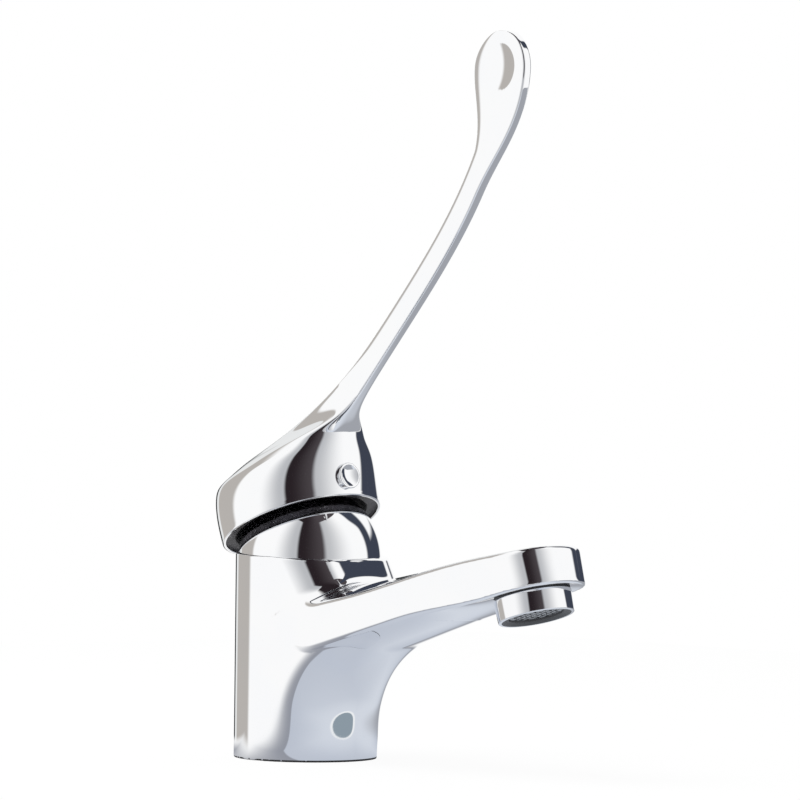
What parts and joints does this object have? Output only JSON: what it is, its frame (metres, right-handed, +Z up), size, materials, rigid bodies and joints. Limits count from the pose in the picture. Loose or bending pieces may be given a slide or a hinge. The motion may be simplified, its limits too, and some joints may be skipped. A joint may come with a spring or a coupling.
{
  "type": "elbow lever basin mixer tap",
  "caption": "Chrome basin mixer tap with a tapered cast spout and a long elbow lever that ends in a round paddle; the lever lifts for flow and swivels for temperature.",
  "frame": {"origin": "centre of the round foot, on the deck", "axes": "+X along the spout, +Z up, -Y towards the side that the picture shows"},
  "size_m": [0.1563, 0.0526, 0.2292],
  "materials": {
    "chrome": "polished plating",
    "rubber": "matt",
    "ceramic": "lapped ceramic",
    "cartridge_white": "moulded",
    "cartridge_dark": "moulded",
    "limit_red": "moulded",
    "brass": "turned",
    "steel": "satin"
  },
  "bodies": {
    "tap": {"tap_body": "chrome", "base_seal": "rubber", "dome_cover": "chrome", "retaining_nut": "brass", "limit_ring": "limit_red", "cartridge_housing": "cartridge_dark", "cartridge_base": "cartridge_white", "port_seals": "rubber", "body_ring": "rubber", "fixed_disc": "ceramic", "aerator_housing": "chrome", "aerator_insert": "cartridge_white", "aerator_screen": "steel", "aerator_seal": "rubber"},
    "turret": {"turret": "cartridge_white", "stem_pin": "steel"},
    "lever": {"lever": "chrome", "stem": "brass", "grub_screw": "steel", "index_plug": "chrome"},
    "disc": {"moving_disc": "ceramic", "disc_carrier": "cartridge_white"}
  },
  "joints": [
    {"name": "lever_swivel", "type": "hinge", "parent": "tap", "child": "turret", "pos_m": [0.0015, 0, 0.0645], "axis": [0, 0, 1], "range_deg": [-45, 45]},
    {"name": "lever_lift", "type": "hinge", "parent": "turret", "child": "lever", "pos_m": [0.0015, 0, 0.0645], "axis": [0, -1, 0], "range_deg": [-24, 0]},
    {"name": "disc_slide", "type": "slide", "parent": "turret", "child": "disc", "axis": [1, 0, 0], "range_m": [-0.0062, 0]}
  ],
  "couplings": [
    {"joint": "disc_slide", "follows": "lever_lift", "m_per_rad": 0.014593}
  ]
}
